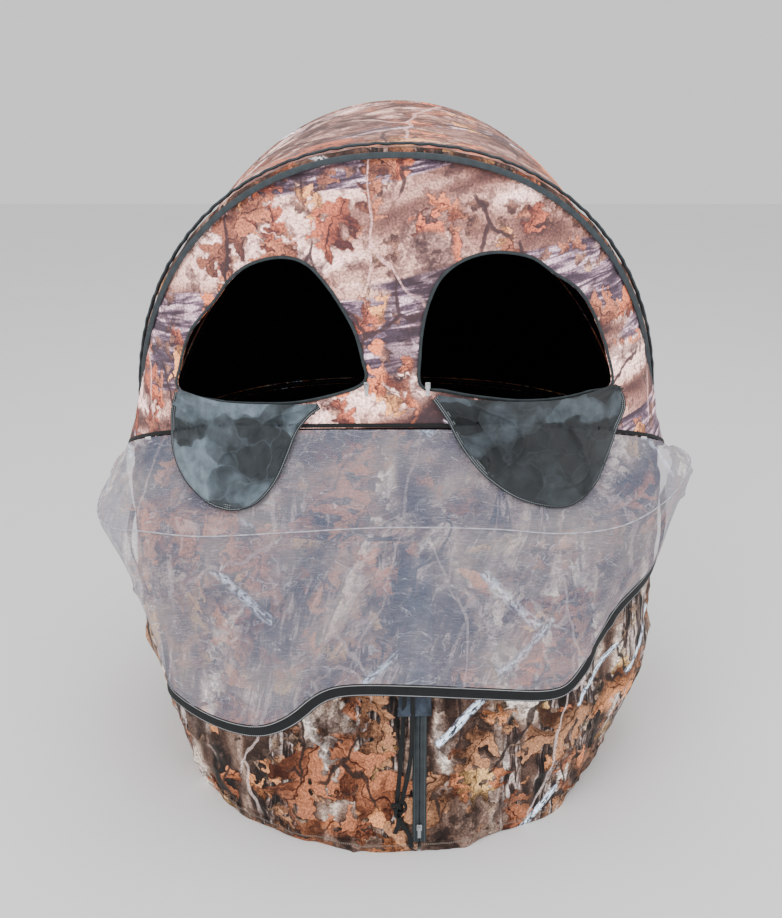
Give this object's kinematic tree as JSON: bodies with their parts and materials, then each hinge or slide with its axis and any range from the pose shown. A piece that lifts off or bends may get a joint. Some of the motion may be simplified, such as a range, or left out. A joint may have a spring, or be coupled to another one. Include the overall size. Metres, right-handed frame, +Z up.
{
  "type": "pop up ground blind",
  "caption": "One-person ground blind: folding hoop hood over a fabric skirt, with two zip windows, hanging window flaps and a sheer net apron across the front.",
  "frame": {"origin": "centre of the ground footprint, on the floor", "axes": "+X to the right seen from the front, +Y to the back, +Z up; the windows face -Y"},
  "size_m": [1.2518, 1.1488, 1.4055],
  "materials": {
    "camo_fabric": "printed leaf and bark camouflage, matt woven polyester",
    "mesh_fabric": "sheer printed net",
    "coated_nylon": "dark grey coated nylon, slight sheen",
    "black_webbing": "black woven tape",
    "fibreglass_rod": "black pultruded fibreglass",
    "hub_plastic": "black moulded nylon",
    "plated_steel": "zinc plated"
  },
  "bodies": {
    "base_frame": {"lap_bow": "fibreglass_rod", "rear_waist_bow": "fibreglass_rod", "front_base_bow": "fibreglass_rod", "rear_base_bow": "fibreglass_rod", "back_panel": "camo_fabric", "skirt_front_left": "camo_fabric", "skirt_front_right": "camo_fabric", "skirt_back": "camo_fabric", "skirt_side_left": "camo_fabric", "skirt_side_right": "camo_fabric", "ground_hem": "black_webbing", "door_zip_left": "black_webbing", "door_zip_right": "black_webbing", "tie_strap_left": "black_webbing", "tie_strap_right": "black_webbing", "hub_plate_left": "hub_plastic", "pivot_bolt_left": "plated_steel", "pivot_washer_left": "plated_steel", "pivot_nut_left": "plated_steel", "hub_plate_right": "hub_plastic", "pivot_bolt_right": "plated_steel", "pivot_washer_right": "plated_steel", "pivot_nut_right": "plated_steel"},
    "back_hoop": {"back_bow": "fibreglass_rod", "back_bow_eye_left": "plated_steel", "back_bow_eye_right": "plated_steel", "roof_rear": "camo_fabric"},
    "crown_hoop": {"crown_bow": "fibreglass_rod", "crown_bow_eye_left": "plated_steel", "crown_bow_eye_right": "plated_steel", "roof_front": "camo_fabric"},
    "front_hoop": {"front_bow": "fibreglass_rod", "front_bow_eye_left": "plated_steel", "front_bow_eye_right": "plated_steel", "front_sleeve": "camo_fabric", "sleeve_piping_front": "black_webbing", "sleeve_piping_rear": "black_webbing"},
    "face": {"face_panel": "camo_fabric", "face_hem_tape": "black_webbing", "window_zip_left": "black_webbing", "window_zip_right": "black_webbing", "apron_upper": "mesh_fabric"},
    "apron": {"apron_drop": "mesh_fabric", "apron_binding": "black_webbing"},
    "left_flap": {"flap_left": "coated_nylon", "flap_tape_left": "coated_nylon"},
    "right_flap": {"flap_right": "coated_nylon", "flap_tape_right": "coated_nylon"},
    "left_window_slider": {"window_slider_left": "plated_steel"},
    "right_window_slider": {"window_slider_right": "plated_steel"},
    "left_window_pull": {"window_pull_left": "plated_steel"},
    "right_window_pull": {"window_pull_right": "plated_steel"},
    "door_zip_slider": {"door_slider": "plated_steel"},
    "door_zip_pull": {"door_pull": "plated_steel"},
    "tie_strap_slide": {"strap_slide": "hub_plastic"}
  },
  "joints": [
    {"name": "hood_fold", "type": "hinge", "parent": "base_frame", "child": "back_hoop", "pos_m": [0, 0, 0.65], "axis": [-1, 0, 0], "range_deg": [0, 34], "deforming": ["back_panel"]},
    {"name": "crown_fold", "type": "hinge", "parent": "back_hoop", "child": "crown_hoop", "pos_m": [0, 0, 0.65], "axis": [-1, 0, 0], "range_deg": [0, 40.2], "deforming": ["roof_rear"]},
    {"name": "front_fold", "type": "hinge", "parent": "crown_hoop", "child": "front_hoop", "pos_m": [0, 0, 0.65], "axis": [-1, 0, 0], "range_deg": [0, 24.2], "deforming": ["roof_front"]},
    {"name": "face_fold", "type": "hinge", "parent": "front_hoop", "child": "face", "pos_m": [0, 0, 0.65], "axis": [-1, 0, 0], "range_deg": [0, 25.2], "deforming": ["face_panel", "window_zip_left", "window_zip_right"]},
    {"name": "apron_lift", "type": "hinge", "parent": "face", "child": "apron", "pos_m": [0, -0.466, 0.668], "axis": [-1, 0, 0], "range_deg": [0, 60]},
    {"name": "left_flap_lift", "type": "hinge", "parent": "face", "child": "left_flap", "pos_m": [-0.255, -0.34865, 0.884], "axis": [-0.9659, 0.2588, 0], "range_deg": [0, 165]},
    {"name": "right_flap_lift", "type": "hinge", "parent": "face", "child": "right_flap", "pos_m": [0.255, -0.34865, 0.884], "axis": [-0.9659, -0.2588, 0], "range_deg": [0, 165]},
    {"name": "left_window_zip_slide", "type": "slide", "parent": "face", "child": "left_window_slider", "axis": [-0.161, 0.2287, 0.9601], "range_m": [0, 0.07]},
    {"name": "right_window_zip_slide", "type": "slide", "parent": "face", "child": "right_window_slider", "axis": [0.161, 0.2287, 0.9601], "range_m": [0, 0.07]},
    {"name": "left_window_pull_swing", "type": "hinge", "parent": "left_window_slider", "child": "left_window_pull", "pos_m": [-0.05778, -0.35996, 0.92023], "axis": [-1, 0, 0], "range_deg": [0, 120]},
    {"name": "right_window_pull_swing", "type": "hinge", "parent": "right_window_slider", "child": "right_window_pull", "pos_m": [0.05778, -0.35996, 0.92023], "axis": [-1, 0, 0], "range_deg": [0, 120]},
    {"name": "door_zip_slide", "type": "slide", "parent": "base_frame", "child": "door_zip_slider", "axis": [0, 0.157, 0.9876], "range_m": [0, 0.24]},
    {"name": "door_pull_swing", "type": "hinge", "parent": "door_zip_slider", "child": "door_zip_pull", "pos_m": [0.045, -0.57039, 0.064], "axis": [-1, 0, 0], "range_deg": [0, 120]},
    {"name": "tie_slide", "type": "slide", "parent": "base_frame", "child": "tie_strap_slide", "axis": [0.0195, 0.1571, 0.9874], "range_m": [0, 0.08]}
  ],
  "couplings": [
    {"joint": "crown_fold", "follows": "hood_fold", "ratio": 1.1765},
    {"joint": "front_fold", "follows": "hood_fold", "ratio": 0.70588},
    {"joint": "face_fold", "follows": "hood_fold", "ratio": 0.73529}
  ]
}
